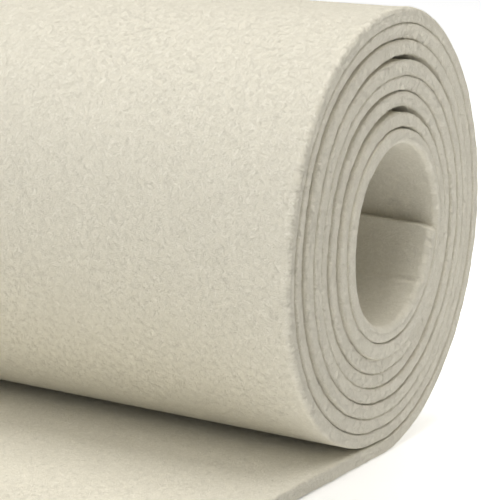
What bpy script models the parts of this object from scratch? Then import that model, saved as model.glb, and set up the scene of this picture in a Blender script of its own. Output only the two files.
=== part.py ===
"""A roll of thick felt with its loose end lying flat in front of it. It is one strip, so it is one solid.

The roll's axis lies along X and the loose end runs towards -Y. Z = 0 is the surface that the part lies on.
The strip is described by its cross-section: a spiral that starts at the back of the bore and turns down, to
the front and up, until it meets the surface under the roll and goes on flat.

A place along the spiral is given in turns: 0 is the inner end, and a quarter, half, three quarters and a
whole turn further on are the bottom, the front, the top and the back.
"""

import math

import bmesh
import bpy

# The strip, in metres
WIDTH = 0.300
THICKNESS = 0.0029
TURNS = 8.25
TAIL_LENGTH = 0.110

# How far the roll sinks under its own weight: the flat spot's depth, and the rounding at its rim
FLAT_DEPTH = 0.00025
FLAT_RIM = 0.00025

STEPS_PER_TURN = 60
TAIL_STEPS = 6

MM = 0.001

# The bore's radius along the first turn, in mm. It grows at the last, to pass over the strip's inner end.
BORE = [
    # turn, radius
    (0.000, 19.8),
    (0.100, 20.8),
    (0.200, 21.1),
    (0.350, 20.3),
    (0.500, 18.7),
    (0.625, 18.8),
    (0.750, 19.2),
    (0.900, 20.9),
]

# The open space outside each turn, in mm, from the inner turn out, at five places round it
GAP_PLACES = (0.25, 0.50, 0.625, 0.75, 1.0)
GAPS = [
    # bottom, front, upper front, top, back
    (0.90, 0.36, 0.45, 0.60, 0.40),
    (0.37, 1.00, 1.50, 1.50, 0.40),
    (0.37, 1.30, 1.50, 0.60, 0.40),
    (0.37, 0.36, 0.36, 0.36, 0.40),
    (0.37, 0.40, 0.80, 1.40, 0.40),
    (0.37, 1.10, 1.00, 0.50, 0.40),
    (0.37, 1.00, 0.60, 0.60, 0.40),
]
FIRST_GAP = 0.40
LAST_GAP = 0.37

# How far the strip's edges stand towards +X, in mm
EDGE_SHIFTS = [
    # turn, shift
    (0.0, 0.8),
    (1.2, 0.6),
    (2.0, 0.0),
    (3.0, -0.3),
    (4.0, 0.1),
    (5.0, 0.3),
    (6.0, -0.1),
    (7.0, -0.3),
    (8.0, 0.0),
]


def ease(share):
    """0 to 1 with level ends."""
    return share * share * (3.0 - 2.0 * share)


def along(rows, turn):
    """The value at this turn, eased from one row of (turn, value) to the next."""
    for (start, low), (end, high) in zip(rows, rows[1:]):
        if turn < end:
            return low + (high - low) * ease((turn - start) / (end - start))
    return rows[-1][1]


def gap_rows():
    """GAPS as rows of (turn, gap)."""
    rows = [(0.0, FIRST_GAP)]
    for inner_turn, row in enumerate(GAPS):
        rows += [(inner_turn + place, gap) for place, gap in zip(GAP_PLACES, row)]
    return rows + [(TURNS - 1.0, LAST_GAP)]


GAP_ROWS = gap_rows()


def gap_outside(turn):
    """The open space between the strip at this turn and the turn round it."""
    return along(GAP_ROWS, turn) * MM


def bore_radius(turn):
    """A smooth curve through BORE. It runs on into the second turn, which lies on the first."""
    rise = (THICKNESS + gap_outside(0.0)) / MM
    before = [(place - 1.0, radius - rise) for place, radius in BORE[-1:]]
    after = [(place + 1.0, radius + rise) for place, radius in BORE[:2]]
    rows = before + BORE + after
    i = 1
    while turn > rows[i + 1][0]:
        i += 1
    slopes = [(rows[k + 1][1] - rows[k - 1][1]) / (rows[k + 1][0] - rows[k - 1][0]) for k in (i, i + 1)]
    (start, low), (end, high) = rows[i], rows[i + 1]
    span = end - start
    s = (turn - start) / span
    into = slopes[0] * span * s * (1.0 - s) ** 2
    out = slopes[1] * span * s * s * (1.0 - s)
    return (low + (high - low) * ease(s) + into - out) * MM


def inner_radius(turn):
    """The radius of the strip's inner face: each turn lies on the one before."""
    if turn <= 1.0:
        return bore_radius(turn)
    return inner_radius(turn - 1.0) + THICKNESS + gap_outside(turn - 1.0)


OUTER_RADIUS = inner_radius(TURNS) + THICKNESS
AXIS_HEIGHT = OUTER_RADIUS - FLAT_DEPTH


def settle(angle, radius):
    """How far the surface below pushes a layer up, at an angle from the lowest line. The bore isn't moved."""
    if math.cos(angle) <= 0.0:
        return 0.0
    height = AXIS_HEIGHT - OUTER_RADIUS * math.cos(angle)
    if height >= FLAT_RIM:
        return 0.0
    settled = max(0.0, height + FLAT_RIM) ** 2 / (4.0 * FLAT_RIM)
    bore = BORE[0][1] * MM
    return (settled - height) * (radius - bore) / (OUTER_RADIUS - bore)


def spiral_section(turn):
    """The strip's two faces at this turn, as (y, z) about the roll's axis line: inner, outer."""
    angle = 2.0 * math.pi * (turn - 0.25)
    inner = inner_radius(turn)
    outer = inner + THICKNESS
    height = AXIS_HEIGHT + settle(angle, outer)
    return [(-radius * math.sin(angle), height - radius * math.cos(angle)) for radius in (inner, outer)]


def sections():
    """The strip from its inner end to the tail's end: rows of (turn, inner y and z, outer y and z)."""
    rows = []
    steps = round(TURNS * STEPS_PER_TURN)
    for step in range(steps):
        turn = TURNS * step / steps
        rows.append((turn, *spiral_section(turn)))
    for step in range(TAIL_STEPS + 1):
        y = -TAIL_LENGTH * step / TAIL_STEPS
        rows.append((TURNS, (y, THICKNESS), (y, 0.0)))
    return rows


def felt_material():
    material = bpy.data.materials.new("felt")
    material.use_nodes = True
    shader = material.node_tree.nodes["Principled BSDF"]
    shader.inputs["Base Color"].default_value = (0.76, 0.71, 0.59, 1.0)
    shader.inputs["Roughness"].default_value = 0.95
    shader.inputs["Metallic"].default_value = 0.0
    return material


def felt_strip():
    """The wound strip: four points at each section, joined along the strip and closed at its two ends."""
    rows = sections()
    back = max(outer[0] for _, _, outer in rows)
    to_middle = -(back - TAIL_LENGTH) / 2.0

    mesh = bmesh.new()
    rings = []
    for turn, inner, outer in rows:
        shift = along(EDGE_SHIFTS, turn) * MM
        ring = []
        for side, (y, z) in ((-1, inner), (1, inner), (1, outer), (-1, outer)):
            ring.append(mesh.verts.new((side * WIDTH / 2.0 + shift, y + to_middle, z)))
        rings.append(ring)
    for ring, following in zip(rings, rings[1:]):
        for corner in range(4):
            beside = (corner + 1) % 4
            mesh.faces.new((ring[corner], ring[beside], following[beside], following[corner]))
    mesh.faces.new(reversed(rings[0]))
    mesh.faces.new(rings[-1])
    bmesh.ops.recalc_face_normals(mesh, faces=mesh.faces)

    data = bpy.data.meshes.new("felt")
    mesh.to_mesh(data)
    mesh.free()
    data.materials.append(felt_material())
    data.shade_smooth()
    data.set_sharp_from_angle(angle=math.radians(30.0))
    return bpy.data.objects.new("felt", data)


def main():
    for thing in list(bpy.data.objects):
        bpy.data.objects.remove(thing)
    bpy.context.scene.collection.objects.link(felt_strip())


main()
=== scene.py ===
"""The looks of a roll of thick cream felt: the wound strip with its soft cut edges, and its loose fibres.

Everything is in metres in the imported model's frame: the roll's axis lies along X, the loose end runs towards
-Y and Z = 0 is the surface that the roll lies on. A place along the spiral is given in turns: 0 is the inner
end, and a quarter, half, three quarters and a whole turn further on are the bottom, the front, the top and
the back.
"""

import math

import bpy
import numpy as np
from mathutils import Matrix, Vector


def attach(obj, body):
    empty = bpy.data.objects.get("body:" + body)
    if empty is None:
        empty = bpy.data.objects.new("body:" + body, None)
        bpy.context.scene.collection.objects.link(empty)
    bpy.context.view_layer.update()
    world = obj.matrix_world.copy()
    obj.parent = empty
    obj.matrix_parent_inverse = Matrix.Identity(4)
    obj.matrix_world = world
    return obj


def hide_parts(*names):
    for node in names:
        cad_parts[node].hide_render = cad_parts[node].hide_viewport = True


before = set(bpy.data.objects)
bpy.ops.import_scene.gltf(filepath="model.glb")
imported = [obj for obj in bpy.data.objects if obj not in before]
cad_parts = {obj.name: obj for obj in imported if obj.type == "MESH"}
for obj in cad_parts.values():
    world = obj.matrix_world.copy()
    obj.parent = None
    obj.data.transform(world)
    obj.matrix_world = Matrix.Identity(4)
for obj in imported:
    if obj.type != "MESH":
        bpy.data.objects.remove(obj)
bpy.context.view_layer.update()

MM = 0.001

# The strip: the same sizes as its solid
WIDTH = 0.300
THICKNESS = 0.0029
TURNS = 8.25
TAIL_LENGTH = 0.110
NAP = 0.00011
FLAT_DEPTH = 0.00025
FLAT_RIM = 0.00025

# The bore's radius along the first turn, in mm
BORE = [
    # turn, radius
    (0.000, 19.8),
    (0.100, 20.8),
    (0.200, 21.1),
    (0.350, 20.3),
    (0.500, 18.7),
    (0.625, 18.8),
    (0.750, 19.2),
    (0.900, 20.9),
]

# The open space outside each turn, in mm, from the inner turn out, at five places round it
GAP_PLACES = (0.25, 0.50, 0.625, 0.75, 1.0)
GAPS = [
    # bottom, front, upper front, top, back
    (0.90, 0.36, 0.45, 0.60, 0.40),
    (0.37, 1.00, 1.50, 1.50, 0.40),
    (0.37, 1.30, 1.50, 0.60, 0.40),
    (0.37, 0.36, 0.36, 0.36, 0.40),
    (0.37, 0.40, 0.80, 1.40, 0.40),
    (0.37, 1.10, 1.00, 0.50, 0.40),
    (0.37, 1.00, 0.60, 0.60, 0.40),
]
FIRST_GAP = 0.40
LAST_GAP = 0.37

# How the strip's edge is finished along it, in mm: how far it stands towards +X, how much further its outer
# corner stands than its inner one, how round those corners are, and how far the felt swells where it was cut
EDGES = [
    # turn, shift, lean, outer rounding, inner rounding, flare
    (0.00, 0.8, 0.0, 0.50, 1.40, 0.00),
    (0.30, 0.8, 0.0, 0.50, 1.35, 0.25),
    (0.42, 0.8, 0.0, 0.50, 0.50, 0.02),
    (0.50, 0.8, 0.0, 0.50, 0.10, 0.00),
    (0.62, 0.8, 0.0, 0.50, 0.40, 0.00),
    (0.75, 0.8, -0.2, 0.50, 1.00, 0.00),
    (1.00, 0.7, 0.0, 0.50, 1.10, 0.00),
    (1.22, 0.6, 0.0, 0.50, 0.50, 0.20),
    (1.45, 0.4, 0.0, 0.50, 0.45, 0.00),
    (2.00, 0.0, 0.0, 0.50, 0.45, 0.00),
    (3.00, -0.3, 0.0, 0.50, 0.45, 0.00),
    (3.45, -0.1, 0.1, 0.50, 0.45, 0.00),
    (3.75, 0.0, 0.7, 0.50, 0.45, 0.10),
    (4.10, 0.1, 0.1, 0.50, 0.45, 0.00),
    (4.75, 0.3, -0.2, 0.50, 0.45, 0.05),
    (5.00, 0.3, 0.0, 0.50, 0.45, 0.00),
    (6.00, -0.1, 0.0, 0.50, 0.45, 0.00),
    (6.40, -0.2, 0.1, 0.50, 0.45, 0.00),
    (6.75, -0.3, 0.8, 0.50, 0.45, 0.12),
    (7.05, -0.3, 0.1, 0.50, 0.45, 0.00),
    (7.30, -0.2, 0.0, 0.55, 0.45, 0.00),
    (7.45, -0.1, 0.0, 1.10, 0.45, 0.00),
    (7.72, 0.0, 0.0, 1.00, 0.45, 0.15),
    (7.95, 0.0, 0.0, 0.50, 0.45, 0.00),
    (8.25, 0.0, 0.0, 0.50, 0.45, 0.00),
]

# How round the strip's two ends are in mm, and where round that arc they have a row of points, in degrees
END_ROUNDING = 0.60
END_ARC = (90, 55, 30, 12)

# How unevenly the felt was cut: smooth random waves, from a slow drift to the felt's grain
CUT_WAVES = [
    # length in metres, size in mm
    (0.045, 0.10),
    (0.0065, 0.035),
    (0.0019, 0.045),
]
CUT_SEED = 3

# The part of those waves that the felt's thickness takes, and how far in from the cut edge they reach
SWELL = 0.6
EDGE_BAND = 0.004

# At the roll's front and back the cut edge is rounder than at its top and bottom, by this in mm. The edge is
# thinner at the back than at the top and bottom, and as much thicker at the front.
SIDE_ROUNDING = 0.30
SIDE_PINCH = 0.10

# The roundest that a corner gets, as a share of half the thickness, and where the points on the cut face are,
# as a share of the way from its middle to where the rounding starts
ROUNDEST = 0.9
FACE_POINT = 0.3

# The inner end wasn't cut quite square: how far it runs short, by its distance from the roll's end
SHORT_END = [
    # distance in from the roll's end in mm, shortfall in mm
    (0.0, 2.4),
    (1.0, 1.5),
    (3.0, 1.0),
    (22.0, 0.1),
    (45.0, 0.0),
]
SHORT_REACH = 0.008

# A faint crease across the felt in the bore: its turn, its depth in mm and half its width in turns
CREASE = (0.108, 0.50, 0.005)

# The mesh: its step along the strip, its step at the crease and how far the short steps reach, in turns, and
# its columns by their distance from the end of the corner's arc
STEP = 0.00090
SHORT_STEP = 0.00030
SHORT_STEPS_REACH = 0.016
ARC_STEPS = 3
COLUMNS = (0.0004, 0.0015, 0.004, 0.012, 0.022, 0.045)


def ease(share):
    """0 to 1 with level ends."""
    return share * share * (3.0 - 2.0 * share)


def along(rows, turn):
    """The value at this turn, eased from one row of (turn, value) to the next."""
    for (start, low), (end, high) in zip(rows, rows[1:]):
        if turn < end:
            return low + (high - low) * ease((turn - start) / (end - start))
    return rows[-1][1]


def gap_rows():
    """GAPS as rows of (turn, gap)."""
    rows = [(0.0, FIRST_GAP)]
    for inner_turn, row in enumerate(GAPS):
        rows += [(inner_turn + place, gap) for place, gap in zip(GAP_PLACES, row)]
    return rows + [(TURNS - 1.0, LAST_GAP)]


GAP_ROWS = gap_rows()


def gap_outside(turn):
    """The open space between the strip at this turn and the turn round it."""
    return along(GAP_ROWS, turn) * MM


def bore_radius(turn):
    """A smooth curve through BORE. It runs on into the second turn, which lies on the first."""
    rise = (THICKNESS + gap_outside(0.0)) / MM
    before = [(place - 1.0, radius - rise) for place, radius in BORE[-1:]]
    after = [(place + 1.0, radius + rise) for place, radius in BORE[:2]]
    rows = before + BORE + after
    i = 1
    while turn > rows[i + 1][0]:
        i += 1
    slopes = [(rows[k + 1][1] - rows[k - 1][1]) / (rows[k + 1][0] - rows[k - 1][0]) for k in (i, i + 1)]
    (start, low), (end, high) = rows[i], rows[i + 1]
    span = end - start
    s = (turn - start) / span
    into = slopes[0] * span * s * (1.0 - s) ** 2
    out = slopes[1] * span * s * s * (1.0 - s)
    return (low + (high - low) * ease(s) + into - out) * MM


def inner_radius(turn):
    """The radius of the strip's inner face: each turn lies on the one before."""
    if turn <= 1.0:
        return bore_radius(turn)
    return inner_radius(turn - 1.0) + THICKNESS + gap_outside(turn - 1.0)


OUTER_RADIUS = inner_radius(TURNS) + THICKNESS
AXIS_HEIGHT = OUTER_RADIUS - FLAT_DEPTH


def settle(angle, radius):
    """How far the surface below pushes a layer up, at an angle from the lowest line. The bore isn't moved."""
    if math.cos(angle) <= 0.0:
        return 0.0
    height = AXIS_HEIGHT - OUTER_RADIUS * math.cos(angle)
    if height >= FLAT_RIM:
        return 0.0
    settled = max(0.0, height + FLAT_RIM) ** 2 / (4.0 * FLAT_RIM)
    bore = BORE[0][1] * MM
    return (settled - height) * (radius - bore) / (OUTER_RADIUS - bore)


def spiral_section(turn):
    """The strip's two faces at this turn, as (y, z) about the roll's axis line: inner, outer."""
    angle = 2.0 * math.pi * (turn - 0.25)
    inner = inner_radius(turn)
    outer = inner + THICKNESS
    height = AXIS_HEIGHT + settle(angle, outer)
    return [(-radius * math.sin(angle), height - radius * math.cos(angle)) for radius in (inner, outer)]


def end_steps():
    """Distances from an end of the strip that follow its rounding, up to the first whole step."""
    rounding = END_ROUNDING * MM
    arc = [rounding * (1.0 - math.sin(math.radians(angle))) for angle in END_ARC]
    return arc + [rounding]


def stations():
    """Rows along the strip, from its inner end to the tail's end.

    Each is (distance, turn, inner y and z, outer y and z).
    """
    rows = []
    distance = 0.0
    turn = 0.0
    starts = end_steps()
    while turn < TURNS:
        rows.append((distance, turn, *spiral_section(turn)))
        if len(rows) < len(starts):
            step = starts[len(rows)] - starts[len(rows) - 1]
        else:
            step = SHORT_STEP if abs(turn - CREASE[0]) < SHORT_STEPS_REACH else STEP
        turn += step / (2.0 * math.pi * (inner_radius(turn) + THICKNESS / 2.0))
        distance += step
    tail = list(np.arange(0.0, TAIL_LENGTH - END_ROUNDING * MM - STEP / 2.0, STEP))
    tail += [TAIL_LENGTH - short for short in reversed(starts)]
    for reach in tail:
        rows.append((distance + reach, TURNS, (-reach, THICKNESS), (-reach, 0.0)))
    return rows


def wander(places, wavelength, amplitude, random):
    """A smooth random curve over these places."""
    knots = np.arange(places.min() - 2.0 * wavelength, places.max() + 3.0 * wavelength, wavelength)
    values = random.normal(0.0, amplitude, len(knots))
    share = (places - knots[0]) / wavelength
    cell = share.astype(int)
    part = ease(share - cell)
    return values[cell] * (1.0 - part) + values[cell + 1] * part


def unevenness(places, random):
    """The wander of a cut line."""
    return sum(wander(places, length, size * MM, random) for length, size in CUT_WAVES)


def half_profile(rounding, half_thick, half_wide):
    """Half the outline of the strip's section, from the middle of one cut edge over a face to the other.

    Arrays hold a value a row. The result is (across, up) for each point, a row for each station.
    """
    up = [FACE_POINT * (half_thick - rounding)]
    in_from_edge = [np.zeros_like(rounding)]
    for step in range(ARC_STEPS + 1):
        angle = 0.5 * math.pi * step / ARC_STEPS
        in_from_edge.append(rounding * (1.0 - math.cos(angle)))
        up.append(half_thick - rounding * (1.0 - math.sin(angle)))
    for column in COLUMNS:
        in_from_edge.append(rounding + column)
        up.append(half_thick)
    in_from_edge = np.stack(in_from_edge, axis=1)
    up = np.stack(up, axis=1)
    wide = half_wide[:, None]
    middle = np.zeros((len(rounding), 1))
    across = np.concatenate([in_from_edge - wide, middle, (wide - in_from_edge)[:, ::-1]], axis=1)
    thick = np.concatenate([up, half_thick[:, None], up[:, ::-1]], axis=1)
    return across, thick


def edge_values(turns, column):
    """One column of EDGES at each of these turns, in metres."""
    return np.array([along([(row[0], row[column]) for row in EDGES], turn) for turn in turns]) * MM


def wound_strip():
    """The strip's surface as a grid of points, rows along the strip by points round its section.

    The rows' distances and turns come with it, and how near each point is to a cut edge, from 0 to 1.
    """
    rows = stations()
    distance = np.array([row[0] for row in rows])
    turns = np.array([row[1] for row in rows])
    inner = np.array([row[2] for row in rows])
    outer = np.array([row[3] for row in rows])
    random = np.random.default_rng(CUT_SEED)

    from_end = np.minimum(distance, distance[-1] - distance)
    rounding = END_ROUNDING * MM
    short = np.clip(rounding - from_end, 0.0, rounding)
    inset = rounding - np.sqrt(rounding ** 2 - short ** 2)
    half_thick = THICKNESS / 2.0 + NAP - inset
    half_wide = WIDTH / 2.0 - inset
    limit = ROUNDEST * half_thick

    shift, lean, outer_round, inner_round, flare = (edge_values(turns, column) for column in range(1, 6))
    backward = np.cos(2.0 * math.pi * turns)
    outer_round += SIDE_ROUNDING * MM * backward ** 2
    inner_round += SIDE_ROUNDING * MM * backward ** 2
    flare -= SIDE_PINCH * MM * backward
    outer_across, outer_up = half_profile(np.minimum(outer_round, limit), half_thick, half_wide)
    inner_across, inner_up = half_profile(np.minimum(inner_round, limit), half_thick, half_wide)
    across = np.concatenate([outer_across, inner_across[:, ::-1]], axis=1)
    up = np.concatenate([outer_up, -inner_up[:, ::-1]], axis=1)

    near = ease(np.clip(1.0 - (WIDTH / 2.0 - np.abs(across)) / EDGE_BAND, 0.0, 1.0))
    side = np.sign(across)
    share = up / THICKNESS
    to_outer = np.clip(0.5 + share, 0.0, 1.0)
    wobble = np.zeros_like(across)
    swell = 2.0 * share * near * flare[:, None]
    for way in (-1, 1):
        here = near * (side == way)
        lines = [unevenness(distance, random)[:, None] for _ in range(4)]
        wobble += here * way * (lines[0] * to_outer + lines[1] * (1.0 - to_outer))
        swell += here * SWELL * (lines[2] * to_outer + lines[3] * (1.0 - to_outer))
    x = across + shift[:, None] + wobble + near * side * lean[:, None] * share
    up = up + swell

    place, depth, half = CREASE
    up += depth * MM * np.exp(-((turns - place) / half) ** 2)[:, None] * (1.0 - to_outer)

    part = 0.5 + up / THICKNESS
    y = inner[:, 0:1] * (1.0 - part) + outer[:, 0:1] * part
    z = inner[:, 1:2] * (1.0 - part) + outer[:, 1:2] * part

    in_from_mouth = (WIDTH / 2.0 - across) / MM
    missing = np.interp(in_from_mouth, *zip(*SHORT_END)) * MM
    missing = missing * np.clip(1.0 - distance / SHORT_REACH, 0.0, 1.0)[:, None]
    run = np.gradient(0.5 * (inner + outer), distance, axis=0)
    y = y + missing * run[:, 0:1]
    z = z + missing * run[:, 1:2]

    back = max(row[3][0] for row in rows)
    y = y - (back - TAIL_LENGTH) / 2.0
    z = np.maximum(z, 0.0)
    return np.stack([x, y, z], axis=2), distance, turns, near


def strip_faces(rows, ring):
    """Quads round the strip, and the quads that close its two ends."""
    near = np.arange(rows - 1)[:, None] * ring + np.arange(ring)[None, :]
    beside = np.arange(rows - 1)[:, None] * ring + (np.arange(ring)[None, :] + 1) % ring
    quads = np.stack([near, beside, beside + ring, near + ring], axis=2).reshape(-1, 4)
    half = ring // 2
    ends = []
    for start, order in ((0, 1), ((rows - 1) * ring, -1)):
        for k in range(half - 1):
            quad = [start + k, start + ring - 1 - k, start + ring - 2 - k, start + k + 1]
            ends.append(quad[::order])
    return np.concatenate([quads, np.array(ends)])


def mesh_object(name, points, faces, material):
    """A smooth mesh object of one material, linked to the scene."""
    data = bpy.data.meshes.new(name)
    data.from_pydata(points.tolist(), [], faces.tolist())
    data.shade_smooth()
    data.materials.append(material)
    piece = bpy.data.objects.new(name, data)
    bpy.context.scene.collection.objects.link(piece)
    return piece


def mark_cut_edges(piece, near):
    """A value at each point that tells the material how near a cut edge is."""
    layer = piece.data.attributes.new("cut_edge", "FLOAT", "POINT")
    layer.data.foreach_set("value", near.astype(np.float32).reshape(-1))


def lay_flat_map(piece, points, distance):
    """A UV map of the strip laid flat, in metres: the distance along it, and the way round its section."""
    rows, ring, _ = points.shape
    middle = points[rows // 2]
    steps = np.linalg.norm(np.roll(middle, -1, axis=0) - middle, axis=1)
    round_it = np.concatenate([[0.0], np.cumsum(steps)])
    corners = np.zeros(len(piece.data.loops), np.int64)
    piece.data.loops.foreach_get("vertex_index", corners)
    row, column = np.divmod(corners, ring)
    column = column.reshape(-1, 4)
    wraps = (column.max(axis=1) == ring - 1) & (column.min(axis=1) == 0)
    is_side = np.arange(len(column)) < (rows - 1) * ring
    column = np.where((wraps & is_side)[:, None] & (column == 0), ring, column).reshape(-1)
    uv = np.stack([distance[row], round_it[column]], axis=1)
    layer = piece.data.uv_layers.new(name="laid_flat")
    layer.data.foreach_set("uv", uv.astype(np.float32).reshape(-1))


class Nodes:
    """Short ways to add and join shader nodes."""

    def __init__(self, material):
        material.use_nodes = True
        self.tree = material.node_tree
        self.shader = self.tree.nodes["Principled BSDF"]

    def add(self, kind, settings=(), **inputs):
        node = self.tree.nodes.new(kind)
        for name, value in dict(settings).items():
            setattr(node, name, value)
        for name, value in inputs.items():
            self.set(node, name.replace("_", " "), value)
        return node

    def set(self, node, name, value):
        socket = node.inputs[int(name)] if name.isdigit() else node.inputs[name]
        if isinstance(value, bpy.types.NodeSocket):
            self.tree.links.new(value, socket)
        else:
            socket.default_value = value

    def math(self, operation, first, second=0.0, third=0.0):
        node = self.add("ShaderNodeMath", {"operation": operation})
        for place, value in enumerate((first, second, third)):
            self.set(node, str(place), value)
        return node.outputs[0]

    def vector(self, operation, first, second):
        node = self.add("ShaderNodeVectorMath", {"operation": operation})
        self.set(node, "0", first)
        self.set(node, "1", second)
        return node.outputs[0]

    def stretch(self, vector, turn, size):
        """Turns the vector about Z, then scales it so that one unit is this size."""
        turned = self.add("ShaderNodeMapping", {"vector_type": "TEXTURE"}, Vector=vector,
                          Rotation=(0.0, 0.0, math.radians(turn)))
        return self.add("ShaderNodeMapping", Vector=turned.outputs[0],
                        Scale=tuple(1.0 / length for length in size)).outputs[0]

    def noise(self, vector, detail, roughness=0.5):
        node = self.add("ShaderNodeTexNoise", {"noise_dimensions": "3D"}, Vector=vector, Scale=1.0,
                        Detail=detail, Roughness=roughness)
        return node.outputs[0]

    def remap(self, value, low, high, to_low=0.0, to_high=1.0):
        node = self.add("ShaderNodeMapRange", {"clamp": True}, Value=value, From_Min=low, From_Max=high,
                        To_Min=to_low, To_Max=to_high)
        return node.outputs[0]

    def mix(self, share, first, second):
        node = self.add("ShaderNodeMix", {"data_type": "RGBA"})
        self.set(node, "0", share)
        self.set(node, "6", first)
        self.set(node, "7", second)
        return node.outputs[2]


FELT_LIGHT = (0.913, 0.876, 0.767, 1.0)
FELT_DARK = (0.797, 0.760, 0.647, 1.0)

# The felt's matted fibres: layers of bent lines that run at these angles, with their length and width in mm
MATTED = [
    # angle, length, width
    (8.0, 2.6, 0.36),
    (52.0, 2.2, 0.31),
    (98.0, 2.4, 0.34),
    (143.0, 2.2, 0.31),
]
FIBRE_TONE = 1.10

# The felt's softer patterns, with their sizes in mm. The bent ones follow the bends of the matted fibres.
PATTERNS = [
    # name, bent, angle, length, width, detail, roughness, share of the tone
    ("grain", True, 0.0, 0.36, 0.31, 3.0, 0.60, 0.60),
    ("tufts", True, 20.0, 1.3, 0.9, 2.0, 0.55, 0.35),
    ("clouds", False, 20.0, 6.0, 5.0, 3.0, 0.55, 0.25),
    ("broad", False, 0.0, 26.0, 20.0, 2.0, 0.50, 0.15),
]
TONE_RANGE = (0.45, 1.60)

# How high a bump the patterns make together, in mm. On the cut edges the soft part is lower and the fine part
# higher, by these factors.
BUMP_HEIGHT = 0.11
CUT_SOFT = 0.3
CUT_FINE = 2.2


def felt_material():
    """Cream felt: matted fibres in all directions, soft clouds of thicker felt, and a dusty sheen."""
    material = bpy.data.materials.new("cream_felt")
    nodes = Nodes(material)
    flat = nodes.add("ShaderNodeUVMap", {"uv_map": "laid_flat"}).outputs[0]
    place = nodes.vector("MULTIPLY", flat, (1000.0, 1000.0, 1000.0))
    bend = nodes.add("ShaderNodeTexNoise", Vector=place, Scale=0.45, Detail=2.0).outputs[1]
    bend = nodes.vector("MULTIPLY", nodes.vector("SUBTRACT", bend, (0.5, 0.5, 0.5)), (1.6, 1.6, 0.0))
    bent = nodes.vector("ADD", place, bend)

    fibres = None
    for turn, length, width in MATTED:
        wave = nodes.noise(nodes.stretch(bent, turn, (length, width, 1.0)), 1.0)
        ridge = nodes.math("ABSOLUTE", nodes.math("SUBTRACT", wave, 0.5))
        strand = nodes.remap(ridge, 0.0, 0.07, 1.0, 0.0)
        patch = nodes.noise(nodes.stretch(place, turn + 30.0, (1.7, 1.2, 1.0)), 1.0)
        strand = nodes.math("MULTIPLY", strand, nodes.remap(patch, 0.44, 0.60))
        fibres = strand if fibres is None else nodes.math("MAXIMUM", fibres, strand)

    tone = nodes.math("MULTIPLY", fibres, FIBRE_TONE)
    patterns = {}
    for name, follows, turn, length, width, detail, roughness, share in PATTERNS:
        lines = nodes.stretch(bent if follows else place, turn, (length, width, 1.0))
        patterns[name] = nodes.noise(lines, detail, roughness)
        tone = nodes.math("MULTIPLY_ADD", patterns[name], share, tone)
    tone = nodes.remap(tone, *TONE_RANGE)
    nodes.set(nodes.shader, "Base Color", nodes.mix(tone, FELT_DARK, FELT_LIGHT))

    cut = nodes.add("ShaderNodeAttribute", {"attribute_name": "cut_edge"}).outputs[2]
    soft = nodes.math("MULTIPLY_ADD", patterns["tufts"], 0.3, nodes.math("MULTIPLY", patterns["clouds"], 0.6))
    soft = nodes.math("MULTIPLY", soft, nodes.remap(cut, 0.0, 1.0, 1.0, CUT_SOFT))
    fine = nodes.math("MULTIPLY_ADD", fibres, 0.60, nodes.math("MULTIPLY", patterns["grain"], 1.15))
    fine = nodes.math("MULTIPLY", fine, nodes.remap(cut, 0.93, 1.0, 1.0, CUT_FINE))
    height = nodes.math("ADD", soft, fine)
    bump = nodes.add("ShaderNodeBump", Strength=1.0, Distance=BUMP_HEIGHT * MM, Height=height)
    nodes.set(nodes.shader, "Normal", bump.outputs[0])
    nodes.set(nodes.shader, "Roughness", nodes.remap(patterns["grain"], 0.3, 0.7, 0.9, 1.0))
    nodes.set(nodes.shader, "Specular IOR Level", 0.15)
    nodes.set(nodes.shader, "Sheen Weight", 0.12)
    nodes.set(nodes.shader, "Sheen Roughness", 0.6)
    nodes.set(nodes.shader, "Sheen Tint", (1.0, 0.97, 0.9, 1.0))
    return material


def fibre_material():
    """Single fibres in the felt's own colours, uneven in tone."""
    material = bpy.data.materials.new("cream_fibre")
    nodes = Nodes(material)
    place = nodes.add("ShaderNodeTexCoord").outputs[3]
    tone = nodes.add("ShaderNodeTexNoise", Vector=place, Scale=900.0, Detail=1.0).outputs[0]
    nodes.set(nodes.shader, "Base Color", nodes.mix(nodes.remap(tone, 0.35, 0.65), FELT_DARK, FELT_LIGHT))
    nodes.set(nodes.shader, "Roughness", 0.85)
    nodes.set(nodes.shader, "Specular IOR Level", 0.2)
    return material


FIBRE_SIDES = 3
FIBRE_STEPS = 3
FIBRE_SEED = 11

# How far to each side the fibres on a corner may head, in radians. All others head any way.
CORNER_SPREAD = 1.1

# Places round the strip's section, as shares of the way round it: the two cut edges and the outer face
LEFT_EDGE = 0.0
OUTER_FACE = 0.25
RIGHT_EDGE = 0.5


def unit(vectors):
    """The same directions, each of length 1."""
    return vectors / np.linalg.norm(vectors, axis=-1, keepdims=True)


def surface_at(points, row, column):
    """Places on the strip's grid, at fractions of rows and of points round it, with the ways from each.

    The ways are out of the felt, along the strip and round its section.
    """
    ring = points.shape[1]
    i = row.astype(int)
    j = np.floor(column).astype(int)
    a = (row - i)[:, None]
    b = (column - j)[:, None]
    j, beside = j % ring, (j + 1) % ring
    low = points[i, j] * (1.0 - b) + points[i, beside] * b
    high = points[i + 1, j] * (1.0 - b) + points[i + 1, beside] * b
    along_it = unit(high - low)
    around = unit(points[i, beside] - points[i, j] + 1e-9)
    outward = unit(np.cross(along_it, around))
    return low * (1.0 - a) + high * a, outward, along_it, around


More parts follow.
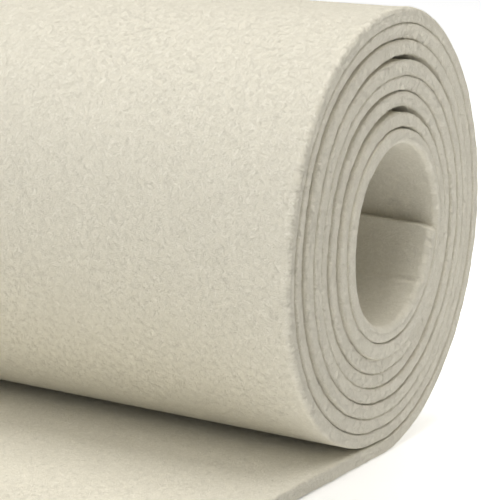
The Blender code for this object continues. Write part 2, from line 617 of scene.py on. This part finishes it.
def fibre_mesh(name, roots, outward, ahead, beside, spread, length, lift, radius, random, material):
    """A tapering, bent tube for each root.

    The fibres head within this spread of the way ahead. Lift is how steeply they leave the surface, 0 to 1.
    """
    count = len(roots)
    heading = random.uniform(-spread, spread, (count, 1))
    flat = np.cos(heading) * ahead + np.sin(heading) * beside
    steep = lift * random.uniform(0.0, 1.0, (count, 1))
    start = unit(flat * (1.0 - steep) + outward * (steep + 0.06))
    bend = unit(random.normal(0.0, 1.0, (count, 3))) * random.uniform(0.05, 0.55, (count, 1))
    side = unit(np.cross(start, random.normal(0.0, 1.0, (count, 3))))
    other = np.cross(start, side)
    size = length * random.uniform(0.35, 1.0, (count, 1)) ** 1.3
    sunk = roots - outward * radius
    rings = []
    for step in range(FIBRE_STEPS):
        t = step / FIBRE_STEPS
        middle = sunk + size * (t * start + t * t * bend)
        for corner in range(FIBRE_SIDES):
            angle = 2.0 * math.pi * corner / FIBRE_SIDES
            out = math.cos(angle) * side + math.sin(angle) * other
            rings.append(middle + radius * (1.0 - 0.5 * t) * out)
    rings.append(sunk + size * (start + bend))
    points = np.stack(rings, axis=1)

    each = points.shape[1]
    faces = [[corner for corner in reversed(range(FIBRE_SIDES))]]
    for step in range(FIBRE_STEPS - 1):
        for corner in range(FIBRE_SIDES):
            here = step * FIBRE_SIDES + corner
            beside = step * FIBRE_SIDES + (corner + 1) % FIBRE_SIDES
            faces.append([here, beside, beside + FIBRE_SIDES])
            faces.append([here, beside + FIBRE_SIDES, here + FIBRE_SIDES])
    last = (FIBRE_STEPS - 1) * FIBRE_SIDES
    for corner in range(FIBRE_SIDES):
        faces.append([last + corner, last + (corner + 1) % FIBRE_SIDES, each - 1])
    faces = np.array(faces)[None, :, :] + each * np.arange(count)[:, None, None]
    points[:, :, 2] = np.maximum(points[:, :, 2], 0.0)
    piece = mesh_object(name, points.reshape(-1, 3), faces.reshape(-1, 3), material)
    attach(piece, "root")
    return piece


def corner_roots(points, first, last, middle, count, random):
    """Roots on both corners of a cut edge, between two rows of the grid: place, outward, ahead, beside.

    Middle is the place round the section of the edge's middle. The fibres head over the corner.
    """
    row = random.uniform(first, last, count)
    side = np.where(random.uniform(0.0, 1.0, count) < 0.5, -1.0, 1.0)
    column = middle + side * (0.5 * ARC_STEPS + 1.0 + random.normal(0.0, 0.7, count))
    place, outward, along_it, around = surface_at(points, row, column)
    return place, outward, around * side[:, None], along_it


def cut_roots(points, first, last, middle, count, random):
    """Roots all over a cut edge, given as in corner_roots."""
    row = random.uniform(first, last, count)
    place, outward, along_it, around = surface_at(points, row, np.full(count, middle))
    place += around * 0.38 * THICKNESS * random.uniform(-1.0, 1.0, (count, 1))
    return place, outward, along_it, around


def face_roots(points, first, last, middle, count, random):
    """Roots all over a face, given as in corner_roots."""
    row = random.uniform(first, last, count)
    place, outward, along_it, around = surface_at(points, row, np.full(count, middle))
    place[:, 0] = random.uniform(-0.5, 0.5, count) * (WIDTH - 2.0 * MM)
    return place, outward, along_it, around


# The loose fibres: where they are rooted, between which turns, how many there are, and their sizes in mm. The
# tail's own end counts as an endless turn.
TAIL_END = math.inf
FIBRES = [
    # name, roots, place round the section, first turn, last turn, spread, count, length, lift, radius
    ("corner_fibres_right", corner_roots, RIGHT_EDGE, 0.3, 7.25, CORNER_SPREAD, 8000, 1.2, 0.7, 0.035),
    ("corner_tufts_right", corner_roots, RIGHT_EDGE, 1.3, 7.2, CORNER_SPREAD, 8000, 1.1, 0.5, 0.060),
    ("outside_fibres_right", corner_roots, RIGHT_EDGE, 7.25, TAIL_END, CORNER_SPREAD, 3000, 0.8, 0.4, 0.026),
    ("cut_fibres_right", cut_roots, RIGHT_EDGE, 0.0, TAIL_END, math.pi, 6000, 0.7, 0.4, 0.028),
    ("corner_fibres_left", corner_roots, LEFT_EDGE, 0.0, TAIL_END, CORNER_SPREAD, 6000, 0.9, 0.9, 0.040),
    ("outer_fibres", face_roots, OUTER_FACE, TURNS - 1.0, TURNS, math.pi, 12400, 1.6, 0.25, 0.018),
    ("nip_fibres", face_roots, OUTER_FACE, 7.27, 7.36, math.pi, 4000, 2.2, 0.9, 0.026),
]


def felt_roll():
    """The wound strip with all its fibres, in place of the solid."""
    points, distance, turns, near = wound_strip()
    rows, ring, _ = points.shape
    roll = mesh_object("felt_roll", points.reshape(-1, 3), strip_faces(rows, ring), felt_material())
    lay_flat_map(roll, points, distance)
    mark_cut_edges(roll, near)
    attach(roll, "root")
    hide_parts("felt")

    random = np.random.default_rng(FIBRE_SEED)
    material = fibre_material()
    for name, roots, share, start, end, spread, count, length, lift, radius in FIBRES:
        first, last = np.clip(np.searchsorted(turns, (start, end)), 2.0, rows - 3.0)
        middle = math.floor(ring * share) - 0.5
        rooted = roots(points, first, last, middle, count, random)
        fibre_mesh(name, *rooted, spread, length * MM, lift, radius * MM, random, material)


# How far the floor reaches each way, and how far below the roll it lies
FLOOR_REACH = 12.0
FLOOR_DROP = 0.0002

# The floor gives light of its own behind the roll, like a lit sweep. It grows between two places along Y.
BACK_GLOW = 0.95
BACK_FROM = -0.04
BACK_TO = 0.17


def plain_floor():
    """A white floor that is no piece of the roll."""
    corners = [(x * FLOOR_REACH, y * FLOOR_REACH, 0.0) for x, y in ((-1, -1), (1, -1), (1, 1), (-1, 1))]
    data = bpy.data.meshes.new("floor")
    data.from_pydata(corners, [], [(0, 1, 2, 3)])
    floor = bpy.data.objects.new("floor", data)
    bpy.context.scene.collection.objects.link(floor)
    floor.location.z = -FLOOR_DROP
    material = bpy.data.materials.new("white_floor")
    nodes = Nodes(material)
    place = nodes.add("ShaderNodeTexCoord").outputs[3]
    _, y, _ = nodes.add("ShaderNodeSeparateXYZ", Vector=place).outputs
    glow = nodes.remap(y, BACK_FROM, BACK_TO, 0.0, BACK_GLOW)
    nodes.set(nodes.shader, "Base Color", (0.95, 0.95, 0.95, 1.0))
    nodes.set(nodes.shader, "Roughness", 0.9)
    nodes.set(nodes.shader, "Specular IOR Level", 0.0)
    nodes.set(nodes.shader, "Emission Color", (1.0, 1.0, 1.0, 1.0))
    nodes.set(nodes.shader, "Emission Strength", glow)
    data.materials.append(material)


# The colours of the light
CREAM = (1.0, 0.982, 0.938)
WARM = (1.0, 0.970, 0.900)
COOL = (0.955, 0.980, 1.0)

# Soft boxes that face the roll, with their places and sizes in metres and their power in watts
LIT_FROM = [
    # name, x, y, z, size, power, colour
    ("overhead", 0.0, 0.0, 1.4, 0.9, 9.2, CREAM),
    ("front_high", 0.0, -0.9, 1.1, 0.9, 6.4, CREAM),
    ("front_low", 0.0, -1.4, 0.5, 0.9, 3.8, COOL),
    ("right", 1.3, 0.0, 0.55, 0.9, 0.6, WARM),
    ("right_high", 0.7, 0.1, 1.25, 0.9, 6.0, WARM),
]
AIM = (0.05, 0.0, 0.05)

# The world gives no light: it all comes from the boxes and the floor
SKY = 0.0


def soft_box(name, place, size, power, colour):
    """A square area light that faces AIM."""
    data = bpy.data.lights.new(name, "AREA")
    data.shape = "SQUARE"
    data.size = size
    data.energy = power
    data.color = colour
    light = bpy.data.objects.new(name, data)
    bpy.context.scene.collection.objects.link(light)
    light.location = place
    light.rotation_euler = (Vector(AIM) - Vector(place)).to_track_quat("-Z", "Y").to_euler()


def studio():
    """The lights, the world and the way colours are shown."""
    world = bpy.data.worlds.new("studio")
    bpy.context.scene.world = world
    world.use_nodes = True
    background = world.node_tree.nodes["Background"]
    background.inputs["Color"].default_value = (1.0, 1.0, 1.0, 1.0)
    background.inputs["Strength"].default_value = SKY
    for name, x, y, z, size, power, colour in LIT_FROM:
        soft_box(name, (x, y, z), size, power, colour)
    bpy.context.scene.view_settings.view_transform = "Standard"


# The camera, fitted to the outline of the roll and its tail in the photo's frame of 481 by 500 pixels
CAMERA_PLACE = (0.30867, -0.32342, 0.11341)
CAMERA_AZIMUTH = 28.936
CAMERA_ELEVATION = 10.073
CAMERA_ROLL = 2.760
CAMERA_LENS = 136.15


def photo_camera():
    """The camera at the photo's viewing angle."""
    data = bpy.data.cameras.new("photo_camera")
    data.sensor_fit = "HORIZONTAL"
    data.sensor_width = 36.0
    data.lens = CAMERA_LENS
    data.clip_start = 0.01
    data.clip_end = 60.0
    camera = bpy.data.objects.new("photo_camera", data)
    bpy.context.scene.collection.objects.link(camera)
    azimuth, elevation, roll = (math.radians(a) for a in (CAMERA_AZIMUTH, CAMERA_ELEVATION, CAMERA_ROLL))
    flat = math.cos(elevation)
    ahead = Vector((-math.sin(azimuth) * flat, math.cos(azimuth) * flat, -math.sin(elevation)))
    level = Vector((math.cos(azimuth), math.sin(azimuth), 0.0))
    upright = level.cross(ahead)
    right = math.cos(roll) * level + math.sin(roll) * upright
    up = math.cos(roll) * upright - math.sin(roll) * level
    turned = Matrix((right, up, -ahead)).transposed()
    camera.matrix_world = Matrix.Translation(CAMERA_PLACE) @ turned.to_4x4()
    bpy.context.scene.camera = camera


photo_camera()
studio()
plain_floor()
felt_roll()
